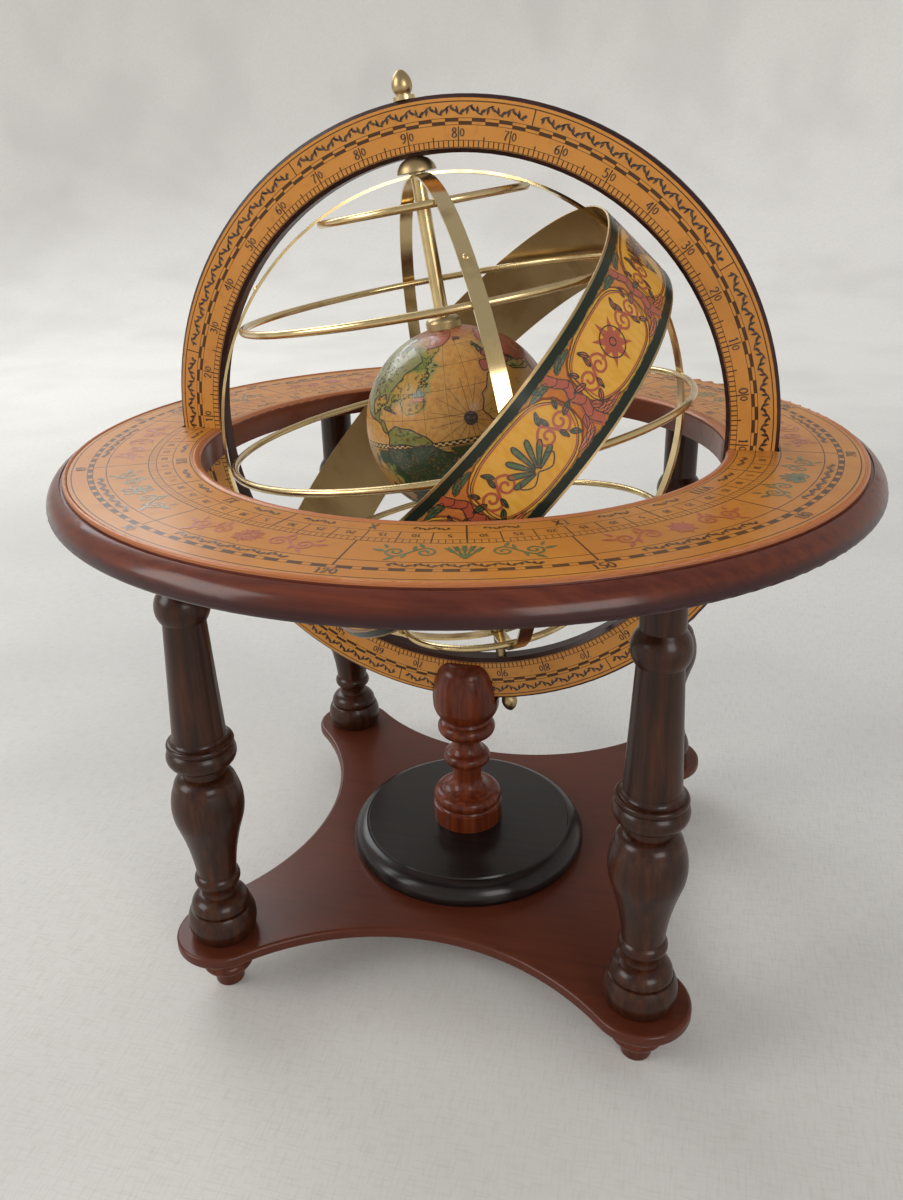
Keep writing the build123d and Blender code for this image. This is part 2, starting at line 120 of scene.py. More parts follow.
class Paint:
    """A new material: object coordinates in millimetres, a colour that layers add to, and a shader."""

    def __init__(self, name, colour, roughness=0.5, metallic=0.0):
        self.material = bpy.data.materials.new(name)
        self.material.use_nodes = True
        self.tree = self.material.node_tree
        self.shader = self.tree.nodes["Principled BSDF"]
        self.shader.inputs["Roughness"].default_value = roughness
        self.shader.inputs["Metallic"].default_value = metallic
        self.place = self.tree.nodes.new("ShaderNodeTexCoord").outputs["Object"]
        self.colour = None
        self.flat = colour
        self.material.diffuse_color = (*colour, 1)

    def set(self, **values):
        for name, value in values.items():
            self.shader.inputs[name.replace("_", " ")].default_value = value
        return self

    def coords(self, matrix=None):
        """The place on the surface in the millimetres of a part's own frame, as a vector socket."""
        node = self.tree.nodes.new("ShaderNodeMapping")
        node.vector_type = "POINT"
        turn = matrix.inverted() if matrix else Matrix.Identity(4)
        node.inputs["Scale"].default_value = (1 / mm, 1 / mm, 1 / mm)
        node.inputs["Rotation"].default_value = turn.to_euler()
        node.inputs["Location"].default_value = turn.to_translation()
        self.tree.links.new(self.place, node.inputs["Vector"])
        return node.outputs["Vector"]

    def split(self, vector):
        node = self.tree.nodes.new("ShaderNodeSeparateXYZ")
        self.tree.links.new(vector, node.inputs[0])
        return [Val(self.tree, node.outputs[i]) for i in range(3)]

    def noise(self, vector, scale, detail=4.0, stretch=(1, 1, 1), rough=0.55):
        squeeze = self.tree.nodes.new("ShaderNodeMapping")
        squeeze.inputs["Scale"].default_value = stretch
        self.tree.links.new(vector, squeeze.inputs["Vector"])
        node = self.tree.nodes.new("ShaderNodeTexNoise")
        node.inputs["Scale"].default_value = scale
        node.inputs["Detail"].default_value = detail
        node.inputs["Roughness"].default_value = rough
        self.tree.links.new(squeeze.outputs["Vector"], node.inputs["Vector"])
        return Val(self.tree, node.outputs["Fac"])

    def layer(self, mask, colour, strength=1.0):
        """Lays a colour over what is there, where the mask is 1."""
        node = self.tree.nodes.new("ShaderNodeMix")
        node.data_type = "RGBA"
        if strength != 1.0:
            mask = mask * strength
        self.tree.links.new(mask.socket, node.inputs["Factor"])
        if self.colour is None:
            node.inputs["A"].default_value = (*self.flat, 1)
        else:
            self.tree.links.new(self.colour, node.inputs["A"])
        node.inputs["B"].default_value = (*colour, 1)
        self.colour = node.outputs["Result"]
        return self

    def rough(self, value):
        self.tree.links.new(value.socket, self.shader.inputs["Roughness"])
        return self

    def bump(self, height, distance, strength=1.0):
        node = self.tree.nodes.new("ShaderNodeBump")
        node.inputs["Distance"].default_value = distance * mm
        node.inputs["Strength"].default_value = strength
        self.tree.links.new(height.socket, node.inputs["Height"])
        self.tree.links.new(node.outputs["Normal"], self.shader.inputs["Normal"])
        return self

    def done(self):
        if self.colour is None:
            self.shader.inputs["Base Color"].default_value = (*self.flat, 1)
        else:
            self.tree.links.new(self.colour, self.shader.inputs["Base Color"])
        return self.material


# Wood, brass and steel

def wood(name, colour, dark, light, along="Z", coat=0.35, centre=(0, 0), contrast=1.0):
    """Varnished wood with grain streaks along one axis, pores and a slow change of tone."""
    paint = Paint(name, colour, 0.45)
    paint.set(Coat_Weight=coat, Coat_Roughness=0.22, Specular_IOR_Level=0.10)
    grain_wood(paint, paint.coords(Matrix.Translation((*centre, 0))), dark, light, along, contrast)
    return paint.done()


def grain_wood(paint, place, dark, light, along, contrast=1.0):
    """Adds grain, pores and a slow change of tone to a wood's paint."""
    stretch = {"X": (0.05, 1, 1), "Y": (1, 0.05, 1), "Z": (1, 1, 0.05)}[along]
    streak = paint.noise(place, 0.35, 6, stretch, 0.6)
    pore = paint.noise(place, 2.4, 3, stretch)
    cloud = paint.noise(place, 0.03, 2)
    paint.layer(streak.ramp(0.45, 0.72), light, 0.7 * contrast)
    paint.layer(streak.ramp(0.52, 0.30), dark, 0.7 * contrast)
    paint.layer(cloud.ramp(0.48, 0.66), dark, 0.4 * contrast)
    paint.layer(pore.ramp(0.60, 0.72), dark, 0.6 * contrast)
    paint.rough(streak.ramp(0.3, 0.7, 0.36, 0.50))
    paint.bump(pore, 0.02, 0.3)


def brass(name, colour=(0.64, 0.49, 0.25), matrix=None, dull=0.22):
    """Old brass: dull gold, a little darker where it has tarnished, with faint brushing."""
    paint = Paint(name, colour, dull, 1.0)
    place = paint.coords(matrix)
    tarnish = paint.noise(place, 0.06, 4)
    fine = paint.noise(place, 0.9, 3, (1, 1, 0.15))
    paint.layer(tarnish.ramp(0.50, 0.72), (0.30, 0.19, 0.08), 0.55)
    paint.layer(fine.ramp(0.55, 0.80), (0.52, 0.40, 0.22), 0.35)
    paint.rough(tarnish.ramp(0.35, 0.7, dull - 0.05, dull + 0.10))
    return paint.done()


def steel(name):
    """Plain steel, faintly turned."""
    paint = Paint(name, (0.50, 0.50, 0.51), 0.35, 1.0)
    fine = paint.noise(paint.coords(), 1.5, 4, (1, 1, 6))
    paint.layer(fine.ramp(0.4, 0.7), (0.36, 0.36, 0.37), 0.6)
    paint.rough(fine.ramp(0.3, 0.7, 0.28, 0.45))
    return paint.done()


def horizon_wood():
    """The ring's own wood: light inner and outer beads, an orange-red shoulder, and painted shade that makes
    the lower edge very dark.
    """
    paint = Paint("horizon_wood", (0.115, 0.022, 0.009), 0.4)
    paint.set(Coat_Weight=0.45, Coat_Roughness=0.16, Specular_IOR_Level=0.10)
    place = paint.coords()
    x, y, z = paint.split(place)
    grain_wood(paint, place, (0.050, 0.009, 0.005), (0.19, 0.042, 0.014), "X", 0.7)
    radius = (x * x + y * y).op("SQRT")
    # Painted shade: the rounded moulding goes very dark towards its underside, as if lit from above.
    paint.layer(z.ramp(horizon_z - 4.5, horizon_z - 8.0), (0.022, 0.006, 0.008), 0.85)
    paint.layer(radius.below(chart_inner - 3.0), (0.17, 0.045, 0.018), 0.75)
    bead = radius.within(chart_inner - 3.4, chart_inner + 1)
    bead = bead.either(radius.within(chart_outer - 1, chart_outer + 1.9) * z.above(horizon_z - 0.9))
    paint.layer(bead * z.above(horizon_z - 1.9), (0.50, 0.17, 0.055), 0.9)
    return paint.done()


def use(material, *names):
    """Gives CAD nodes a material."""
    for name in names:
        slots = nodes[name].data.materials
        slots.clear()
        slots.append(material)


corner_names = ("front_left", "front_right", "back_left", "back_right")
leg_xy = 85.2
use(wood("plate_wood", (0.092, 0.021, 0.009), (0.060, 0.012, 0.006), (0.125, 0.030, 0.012), "X", 0.35,
         contrast=0.4),
    "base_plate")
for corner in corner_names:
    centre = (leg_xy if "right" in corner else -leg_xy, leg_xy if "back" in corner else -leg_xy)
    use(wood("leg_wood_" + corner, (0.036, 0.010, 0.004), (0.013, 0.004, 0.002), (0.080, 0.023, 0.007),
             "Z", 0.45, centre), "leg_" + corner)
    use(wood("foot_wood_" + corner, (0.095, 0.020, 0.008), (0.05, 0.010, 0.005), (0.14, 0.032, 0.011),
             "Z", 0.35, centre), "foot_" + corner)
use(wood("column_wood", (0.13, 0.022, 0.006), (0.045, 0.008, 0.003), (0.24, 0.050, 0.010), "Z", 0.45),
    "pedestal_column")
use(wood("black_wood", (0.010, 0.006, 0.005), (0.005, 0.003, 0.003), (0.020, 0.009, 0.007), "X", 0.55),
    "pedestal_disc")
use(wood("dowel_wood", (0.50, 0.32, 0.17), (0.38, 0.22, 0.11), (0.60, 0.42, 0.25), "Z", 0.0), "leg_dowels")
use(horizon_wood(), "horizon_ring")
use(wood("meridian_wood", (0.040, 0.014, 0.012), (0.016, 0.007, 0.008), (0.062, 0.022, 0.018), "X", 0.3),
    "meridian_ring")
use(steel("steel"), "leg_screws", "pedestal_screw")
use(brass("rod_brass"), "axis_rod", "north_washer", "north_bush", "south_bush", "globe_tube",
    "arctic_ring", "cancer_ring", "equator_ring", "capricorn_ring", "antarctic_ring")
use(brass("strip_brass", (0.66, 0.50, 0.25), to_cage, 0.17), "first_colure", "second_colure", "colure_rivets",
    "band_rivets")
use(brass("turned_brass", (0.42, 0.31, 0.16), to_ring, 0.36), "north_finial", "south_finial", "north_cap",
    "south_spacer", "globe_collar_north", "globe_collar_south")
use(brass("band_brass", (0.44, 0.32, 0.16), to_band, 0.38), "zodiac_band")

# Printed paper
paper_orange = (0.53, 0.200, 0.030)
print_black = (0.030, 0.016, 0.010)


def paper(name, matrix, colour=paper_orange):
    """Aged, varnished orange paper; returns the paint and its coordinates."""
    paint = Paint(name, colour, 0.42)
    paint.set(Coat_Weight=0.24, Coat_Roughness=0.16, Specular_IOR_Level=0.15)
    place = paint.coords(matrix)
    paint.layer(paint.noise(place, 0.035, 3).ramp(0.40, 0.62), (0.58, 0.245, 0.045), 0.6)
    paint.layer(paint.noise(place, 0.25, 4).ramp(0.52, 0.72), (0.42, 0.15, 0.035), 0.35)
    paint.layer(paint.noise(place, 2.5, 3).ramp(0.55, 0.75), (0.40, 0.16, 0.05), 0.25)
    return paint, place


def turns(across, up):
    """Angle in degrees from 0 to 360."""
    angle = up.op("ARCTAN2", across) * (180 / math.pi)
    return (angle + 360).op("MODULO", 360.0)


# Rings of the horizon print, from its inner edge outward, as inner and outer radii
month_ring = (106.9, 113.2)
day_ring = (113.2, 119.2)
tick_ring = (119.2, 122.1)
figure_ring = (122.1, 137.2)
vine_ring = (137.2, 141.9)
block_ring = (141.9, 143.8)
last_circle = 149.4

# Rings of the meridian print, the same way
arc_ticks = (103.6, 105.9)
arc_rows = (111.0, 112.1, 113.2)
arc_edge = 118.6


def horizon_print():
    """Circles, sector lines, a band of dark blocks and degree ticks."""
    paint, place = paper("horizon_print", None)
    x, y = paint.split(place)[:2]
    radius = (x * x + y * y).op("SQRT")
    degrees = turns(x, y)
    lines = radius.near(month_ring[0], 0.4)
    for r, width in ((month_ring[1], 0.3), (day_ring[1], 0.3), (tick_ring[1], 0.4), (figure_ring[1], 0.4),
                     (vine_ring[1], 0.3), (block_ring[1], 0.3), (last_circle, 0.5)):
        lines = lines.either(radius.near(r, width))
    sector = (((degrees - sector_start) / 30).fract() - 0.5).op("ABSOLUTE").above(0.4955)
    month = (((degrees - month_start) / 30).fract() - 0.5).op("ABSOLUTE").above(0.4945)
    blocks = ((degrees - sector_start) / 3).fract().within(0.18, 0.82) * radius.within(*block_ring)
    five = (((degrees - month_start) / 5).fract() - 0.5).op("ABSOLUTE").above(0.478)
    one = ((degrees - month_start).fract() - 0.5).op("ABSOLUTE").above(0.43)
    lines = lines.either(sector * radius.within(figure_ring[0], vine_ring[1]))
    lines = lines.either(month * radius.within(month_ring[0], day_ring[1])).either(blocks)
    lines = lines.either(five * radius.within(day_ring[0], tick_ring[1]))
    lines = lines.either(one * radius.within(*tick_ring))
    paint.layer(lines, print_black, 0.88)
    return paint.done()


def meridian_print(name):
    """Degree ticks on the inside, a double row of blocks, and circles round an ornament band."""
    paint, place = paper(name, to_ring, (0.60, 0.26, 0.058))
    x, y, z = paint.split(place)
    radius = (x * x + z * z).op("SQRT")
    degrees = turns(z, x)
    lines = radius.near(arc_ticks[1], 0.22)
    for r, width in ((arc_ticks[0], 0.3), (arc_rows[0], 0.2), (arc_rows[1], 0.2), (arc_rows[2], 0.2),
                     (arc_edge, 0.4)):
        lines = lines.either(radius.near(r, width))
    tick = (degrees.fract() - 0.5).op("ABSOLUTE").above(0.38) * radius.within(*arc_ticks)
    five = ((degrees / 5).fract() - 0.5).op("ABSOLUTE").above(0.474) * radius.within(arc_ticks[1], 107.2)
    ten = ((degrees / 10).fract() - 0.5).op("ABSOLUTE").above(0.488) * radius.within(arc_ticks[1], 110.4)
    blocks = (degrees / 5).fract()
    row_in = blocks.below(0.5) * radius.within(*arc_rows[:2])
    row_out = blocks.above(0.5) * radius.within(*arc_rows[1:])
    lines = lines.either(tick).either(five).either(ten).either(row_in).either(row_out)
    for zone in zone_angles:
        lines = lines.either(degrees.near(zone % 360, 0.22) * radius.within(arc_rows[2], arc_edge))
    paint.layer(lines, print_black, 0.92)
    return paint.done()


def zodiac_print():
    """Dark green-black borders, orange ground and a yellow oval for each twelfth."""
    paint, place = paper("zodiac_print", to_band, (0.56, 0.16, 0.035))
    x, y, z = paint.split(place)
    degrees = turns(x, y)
    edge = z.op("ABSOLUTE")
    along = (((degrees - panel_start) / 30).fract() - 0.5) * (30 * math.pi / 180 * band_radius)
    wobble = paint.noise(place, 0.16, 3)
    across = edge / 12.4
    span = along.op("ABSOLUTE") / 21.0
    oval = (across.op("POWER", 2.6) + span.op("POWER", 2.6)) + (wobble - 0.5) * 0.35
    streak = paint.noise(place, 0.5, 4, (1, 1, 0.4))
    paint.layer(streak.ramp(0.45, 0.60), (0.62, 0.24, 0.05), 0.7)
    paint.layer(oval.ramp(1.18, 1.10), (0.18, 0.045, 0.020), 0.9)
    paint.layer(oval.ramp(1.04, 1.00), (0.74, 0.37, 0.045))
    paint.layer(oval.ramp(0.95, 0.55) * streak.ramp(0.35, 0.6), (0.80, 0.44, 0.085), 0.7)
    brush = (paint.noise(place, 0.45, 4, (1, 1, 0.25)) - 0.5) * 1.6
    paint.layer((edge + brush).ramp(12.35, 12.65), (0.012, 0.020, 0.012))
    paint.layer((edge + brush).near(12.2, 0.35), (0.10, 0.16, 0.05), 0.7)
    return paint.done()


# Sea and land of the ball: rough land masses as (longitude, latitude, half width, half height)
lands = ((-146, 50, 30, 24), (-163, 34, 13, 14), (-150, 70, 40, 10), (-128, 24, 9, 5), (-118, 60, 9, 9),
         (-132, -14, 24, 13), (-122, -32, 13, 20), (-118, -50, 7, 14), (-40, 52, 22, 14), (-22, 62, 20, 10),
         (-44, 18, 26, 16), (-34, -8, 17, 22), (-30, -26, 10, 14), (20, 50, 44, 18), (60, 62, 50, 12),
         (40, 24, 16, 16), (72, 30, 24, 14), (92, 8, 9, 12), (118, -28, 22, 13), (5, -18, 5, 10),
         (150, 66, 30, 8), (178, -40, 8, 12))


def globe_print():
    """Old map: ochre sea, green and rosy land with dark coasts, dark south, ruled circles."""
    paint, place = paper("globe_print", to_cage, (0.56, 0.30, 0.085))
    x, y, z = paint.split(place)
    longitude = y.op("ARCTAN2", x) * (180 / math.pi)
    latitude = (z / globe_radius).op("MINIMUM", 1.0).op("MAXIMUM", -1.0).op("ARCSINE") * (180 / math.pi)
    rough = (paint.noise(place, 0.16, 6, rough=0.65) - 0.5) * 1.5
    nearest = None
    for lon, lat, wide, high in lands:
        shift = (longitude - (lon - 180)).op("WRAP", 360.0, 0.0) - 180
        reach = (shift / wide) * (shift / wide) + ((latitude - lat) / high) * ((latitude - lat) / high)
        nearest = reach if nearest is None else nearest.op("MINIMUM", reach)
    shore = nearest.op("SQRT") + rough
    patch = paint.noise(place, 0.07, 4)
    speck = paint.noise(place, 0.55, 4)
    paint.layer(speck.ramp(0.45, 0.62), (0.42, 0.19, 0.05), 0.6)
    paint.layer(shore.ramp(1.28, 1.02), (0.16, 0.26, 0.10), 0.75)
    paint.layer(shore.below(1.0), (0.22, 0.22, 0.045))
    paint.layer(shore.below(1.0) * patch.ramp(0.48, 0.58), (0.50, 0.26, 0.05), 0.8)
    paint.layer(shore.below(1.0) * patch.ramp(0.50, 0.40), (0.06, 0.13, 0.03), 0.8)
    paint.layer(shore.below(1.0) * speck.ramp(0.56, 0.62), (0.02, 0.03, 0.01), 0.7)
    paint.layer(shore.near(1.0, 0.07), (0.012, 0.02, 0.01), 0.9)
    south = latitude.ramp(-1.0, -3.0)
    paint.layer(south * shore.above(1.0), (0.30, 0.17, 0.05), 0.5)
    paint.layer(south * (patch + rough * 0.15).ramp(0.50, 0.46), (0.018, 0.045, 0.016), 0.92)
    paint.layer((latitude + rough * 12).ramp(58, 74), (0.36, 0.075, 0.04), 0.65)
    paint.layer((latitude + rough * 12).ramp(-50, -66), (0.20, 0.05, 0.03), 0.6)
    across = (latitude * (math.pi / 180)).op("COSINE")
    meridians = ((longitude / 15).fract() - 0.5).op("ABSOLUTE") * across
    ruled = (meridians - across * 0.5 + 0.009).above(0.0)
    for angle in (-66.5, -45, -30, -15, 15, 30, 45, 60, 66.5):
        ruled = ruled.either(latitude.near(angle, 0.35))
    paint.layer(ruled, (0.03, 0.02, 0.012), 0.62)
    strip = latitude.near(0.0, 2.4)
    step = (longitude / 4).fract()
    paint.layer(strip, (0.62, 0.40, 0.16), 0.9)
    equator = strip * step.below(0.5) * latitude.above(0.0)
    equator = equator.either(strip * step.above(0.5) * latitude.below(0.0))
    edge = latitude.near(1.2, 0.5).either(latitude.near(-1.2, 0.5))
    paint.layer(equator.either(edge), (0.012, 0.012, 0.012), 0.92)
    return paint.done()


sector_start = -1.6             # degrees of the first sector line on the horizon print
month_start = 13.8
panel_start = -12.5             # degrees where one oval of the zodiac print gives way to the next
zone_angles = (23.5, 66.5, 113.5, 156.5, -23.5, -66.5, -113.5, -156.5)
use(horizon_print(), "horizon_chart")
use(meridian_print("meridian_print"), "meridian_chart_front", "meridian_chart_back")
use(zodiac_print(), "zodiac_chart")
use(globe_print(), "globe_north_half", "globe_south_half")


# Drawing on the printed surfaces

def smooth(points, closed=False, steps=4):
    """Points along a smooth curve through the given ones."""
    count = len(points)
    line = []
    for i in range(count if closed else count - 1):
        near = []
        for k in (i - 1, i, i + 1, i + 2):
            near.append(points[k % count] if closed else points[min(max(k, 0), count - 1)])
        for step in range(steps):
            t = step / steps
            line.append(tuple(
                b + 0.5 * t * (c - a + t * (2 * a - 5 * b + 4 * c - d + t * (3 * b - a - 3 * c + d)))
                for a, b, c, d in zip(*near)))
    if not closed:
        line.append(tuple(points[-1]))
    return line


class Drawing:
    """Ink shapes drawn in millimetres and laid a hair above a printed surface by a placing function."""

    def __init__(self, place=None, grain=None):
        self.place = place
        self.grain = grain              # longest edge of a filled shape, on a curved surface
        self.turned = Matrix.Identity(3)
        self.points = []
        self.faces = []
        self.inks = []
        self.shapes = [0]

    def on(self, place):
        """The same drawing, with another placing function."""
        other = copy.copy(self)
        other.place = place
        other.turned = Matrix.Identity(3)
        return other

    def at(self, x=0.0, y=0.0, turn=0.0, size=1.0, flip=1):
        """The same drawing, in a shifted, turned, scaled or mirrored frame."""
        other = copy.copy(self)
        c = math.cos(math.radians(turn)) * size
        s = math.sin(math.radians(turn)) * size
        other.turned = self.turned @ Matrix(((c * flip, -s, x), (s * flip, c, y), (0, 0, 1)))
        return other

    def add(self, ink, points, faces):
        first = len(self.points)
        self.shapes[0] += 1
        height = ink_rise * (1 + list(ink_colours).index(ink)) + 0.001 * (self.shapes[0] % 7)
        for x, y in points:
            u, v = (self.turned @ Vector((x, y, 1))).xy
            self.points.append(self.place(u, v, height) * mm)
        for face in faces:
            self.faces.append([first + k for k in face])
            self.inks.append(ink)

    def stroke(self, ink, points, width, end=None, closed=False, curved=True, nib=0.0):
        """A line of ink; it may thin towards its end, and a nib makes level parts thinner."""
        line = smooth(points, closed) if curved else list(points)
        count = len(line)
        outline = []
        for i, (x, y) in enumerate(line):
            before = line[i - 1] if closed or i > 0 else line[i]
            after = line[(i + 1) % count] if closed or i < count - 1 else line[i]
            along = Vector(after) - Vector(before)
            along.normalize()
            half = width / 2
            if end is not None:
                half += (end - width) / 2 * i / (count - 1)
            half *= 1 - nib + nib * abs(along.y)
            outline.append((x - along.y * half, y + along.x * half))
            outline.append((x + along.y * half, y - along.x * half))
        faces = []
        for i in range(count if closed else count - 1):
            j = (i + 1) % count
            faces.append((2 * i, 2 * i + 1, 2 * j + 1, 2 * j))
        self.add(ink, outline, faces)

    def fill(self, ink, points, curved=True):
        """A filled shape, cut fine enough to follow a curved surface."""
        line = smooth(points, True) if curved else points
        corners = [Vector((x, y, 0)) for x, y in line]
        triangles = tessellate_polygon([corners])
        if self.grain is None:
            self.add(ink, line, triangles)
            return
        patch = bmesh.new()
        made = [patch.verts.new(corner) for corner in corners]
        for triangle in triangles:
            if len(set(triangle)) == 3:
                patch.faces.new([made[k] for k in triangle])
        for cut in range(most_cuts):
            long_edges = [edge for edge in patch.edges if edge.calc_length() > self.grain]
            if not long_edges:
                break
            bmesh.ops.subdivide_edges(patch, edges=long_edges, cuts=1)
            bmesh.ops.triangulate(patch, faces=[face for face in patch.faces if len(face.verts) > 3])
        patch.verts.index_update()
        self.add(ink, [tuple(vert.co.xy) for vert in patch.verts],
                 [[vert.index for vert in face.verts] for face in patch.faces])
        patch.free()

    def shape(self, ink, points, line, curved=True):
        """A filled shape with a dark outline."""
        self.fill(ink, points, curved)
        self.stroke("dark", points, line, closed=True, curved=curved)

    def make(self, name, body):
        """The drawing as one piece of the part."""
        mesh = bpy.data.meshes.new(name)
        mesh.from_pydata(self.points, [], self.faces)
        used = [ink for ink in ink_colours if ink in self.inks]
        for ink in used:
            mesh.materials.append(ink_material(ink))
        for face, ink in zip(mesh.polygons, self.inks):
            face.material_index = used.index(ink)
        mesh.update()
        piece = bpy.data.objects.new(name, mesh)
        bpy.context.scene.collection.objects.link(piece)
        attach(piece, body)


ink_rise = 0.012                # millimetres between one ink and the next, in this order
most_cuts = 7                   # rounds of halving long edges in a filled shape
ink_colours = {
    "yellow": (0.78, 0.42, 0.06),
    "ochre": (0.50, 0.26, 0.05),
    "olive": (0.17, 0.17, 0.025),
    "forest": (0.016, 0.040, 0.012),
    "rose": (0.36, 0.075, 0.035),
    "green": (0.075, 0.115, 0.035),
    "leaf": (0.045, 0.12, 0.045),
    "red": (0.42, 0.075, 0.03),
    "coral": (0.60, 0.14, 0.04),
    "dark": (0.022, 0.012, 0.008),
}


def ink_material(ink):
    """Varnished ink, worn a little thin in patches."""
    if ink in bpy.data.materials:
        return bpy.data.materials[ink]
    paint = Paint(ink, ink_colours[ink], 0.42)
    paint.set(Coat_Weight=0.5, Coat_Roughness=0.14)
    worn = paint.noise(paint.coords(), 0.9, 4)
    pale = tuple(0.55 * a + 0.45 * b for a, b in zip(ink_colours[ink], paper_orange))
    paint.layer(worn.ramp(0.52, 0.66), pale, 0.55)
    return paint.done()


def circle(x, y, radius, count=16):
    """Points round a circle."""
    angles = [2 * math.pi * k / count for k in range(count)]
    return [(x + radius * math.cos(a), y + radius * math.sin(a)) for a in angles]


# Placing functions: u runs along the print, v across it, and h stands off the surface

def on_horizon(degrees, radius, outward=1):
    """Tops of the drawing point outward, or inward when outward is -1."""
    def place(u, v, h):
        angle = math.radians(degrees) - outward * u / radius
        r = radius + outward * v
        return Vector((r * math.cos(angle), r * math.sin(angle), horizon_z + h))
    return place


def on_meridian(side, degrees, radius):
    """On the front, side -1, or the back, side 1; tops point outward; the north pole is at 90."""
    def place(u, v, h):
        angle = math.radians(degrees) - u / radius
        r = radius + v
        x = -side * r * math.cos(angle)
        return to_ring @ Vector((x, side * (meridian_face + h), r * math.sin(angle)))
    return place


def on_band(degrees):
    """Tops point to the band's north edge."""
    def place(u, v, h):
        angle = math.radians(degrees) + u / band_radius
        r = band_radius + h
        return to_band @ Vector((r * math.cos(angle), r * math.sin(angle), v))
    return place


def on_map(longitude, latitude, h):
    """u and v are degrees of longitude and latitude on the ball."""
    lon = math.radians(longitude + map_turn)
    lat = math.radians(latitude)
    r = globe_radius + h
    level = r * math.cos(lat)
    return to_cage @ Vector((level * math.cos(lon), level * math.sin(lon), r * math.sin(lat)))


def on_globe(longitude, latitude):
    """u and v are millimetres on the ball about a point of the map."""
    centre = Vector(on_map(longitude, latitude, 0)) - to_cage.translation
    up = centre.normalized()
    pole = to_cage.to_3x3() @ Vector((0, 0, 1))
    east = pole.cross(up).normalized()
    north = up.cross(east)
    def place(u, v, h):
        way = (up * globe_radius + east * u + north * v).normalized()
        return to_cage.translation + way * (globe_radius + h)
    return place


# Numerals: strokes in a box one unit high

numerals = {
    "1": [((0.05, 0.80), (0.24, 1.0)), ((0.24, 1.0), (0.24, 0.0)), ((0.08, 0.0), (0.40, 0.0))],
    "2": [((0.04, 0.74), (0.12, 0.94), (0.30, 1.0), (0.47, 0.86), (0.42, 0.60), (0.20, 0.28), (0.03, 0.04)),
          ((0.03, 0.03), (0.55, 0.03))],
    "3": [((0.05, 0.88), (0.26, 1.0), (0.45, 0.82), (0.36, 0.60), (0.18, 0.54)),
          ((0.18, 0.54), (0.42, 0.48), (0.52, 0.24), (0.30, 0.0), (0.03, 0.10))],
    "4": [((0.44, 0.0), (0.44, 1.0)), ((0.44, 1.0), (0.02, 0.30)), ((0.02, 0.30), (0.60, 0.30))],
    "5": [((0.50, 1.0), (0.14, 1.0)), ((0.14, 1.0), (0.10, 0.56)),
          ((0.10, 0.56), (0.32, 0.62), (0.52, 0.46), (0.50, 0.16), (0.28, 0.0), (0.03, 0.10))],
    "6": [((0.46, 0.98), (0.18, 0.78), (0.05, 0.40), (0.12, 0.08), (0.32, 0.0), (0.50, 0.14), (0.50, 0.40),
           (0.30, 0.54), (0.08, 0.36))],
    "7": [((0.03, 0.98), (0.56, 0.98)), ((0.56, 0.98), (0.30, 0.50), (0.20, 0.0))],
    "8": [((0.30, 0.54), (0.12, 0.70), (0.14, 0.92), (0.30, 1.0), (0.46, 0.92), (0.48, 0.70), (0.30, 0.54),
           (0.08, 0.34), (0.10, 0.08), (0.30, 0.0), (0.50, 0.08), (0.52, 0.34), (0.30, 0.54))],
    "9": [((0.10, 0.02), (0.38, 0.22), (0.51, 0.60), (0.44, 0.92), (0.24, 1.0), (0.06, 0.86), (0.06, 0.60),
           (0.26, 0.46), (0.48, 0.64))],
    "0": [((0.30, 0.0), (0.10, 0.20), (0.04, 0.50), (0.10, 0.80), (0.30, 1.0), (0.50, 0.80), (0.56, 0.50),
           (0.50, 0.20), (0.30, 0.0))],
    "I": [((0.24, 1.0), (0.24, 0.0)), ((0.04, 1.0), (0.44, 1.0)), ((0.04, 0.0), (0.44, 0.0))],
    "V": [((0.12, 1.0), (0.42, 0.0)), ((0.42, 0.0), (0.72, 1.0)), ((0.0, 1.0), (0.26, 1.0)),
          ((0.60, 1.0), (0.84, 1.0))],
    "X": [((0.12, 1.0), (0.68, 0.0)), ((0.66, 1.0), (0.14, 0.0)), ((0.0, 1.0), (0.26, 1.0)),
          ((0.54, 1.0), (0.80, 1.0)), ((0.0, 0.0), (0.28, 0.0)), ((0.54, 0.0), (0.82, 0.0))],
}
numeral_widths = {"1": 0.46, "I": 0.50, "V": 0.86, "X": 0.84}


numeral_weight = 0.17           # of the numeral's height


def write(pen, text, height, x, y):
    """Numerals centred at x, standing on y."""
    widths = [numeral_widths.get(sign, 0.60) + 0.10 for sign in text]
    place = x - height * sum(widths) / 2
    for sign, width in zip(text, widths):
        spot = pen.at(place, y, size=height)
        for line in numerals[sign]:
            spot.stroke("dark", line, numeral_weight, curved=len(line) > 2, nib=0.55)
        place += height * width


# Ornaments: leaves, scrolls, stars and flowers

def scaled(points, wide, high=None):
    """Points drawn in a box of one unit, at their size in millimetres."""
    high = wide if high is None else high
    return [(x * wide, y * high) for x, y in points]


def leaf(pen, ink, x, y, turn, length, wide, edge=None):
    """A pointed leaf that grows from (x, y), with a midrib where it has an edge line."""
    spot = pen.at(x, y, turn)
    outline = scaled([(0, 0), (0.35, 0.5), (0.75, 0.35), (1, 0), (0.70, -0.30), (0.30, -0.42)], length, wide)
    spot.fill(ink, outline)
    if edge:
        spot.stroke("dark", outline, edge, closed=True)
        spot.stroke("dark", scaled([(0.1, 0), (0.5, 0.05), (0.9, 0)], length, wide), edge)


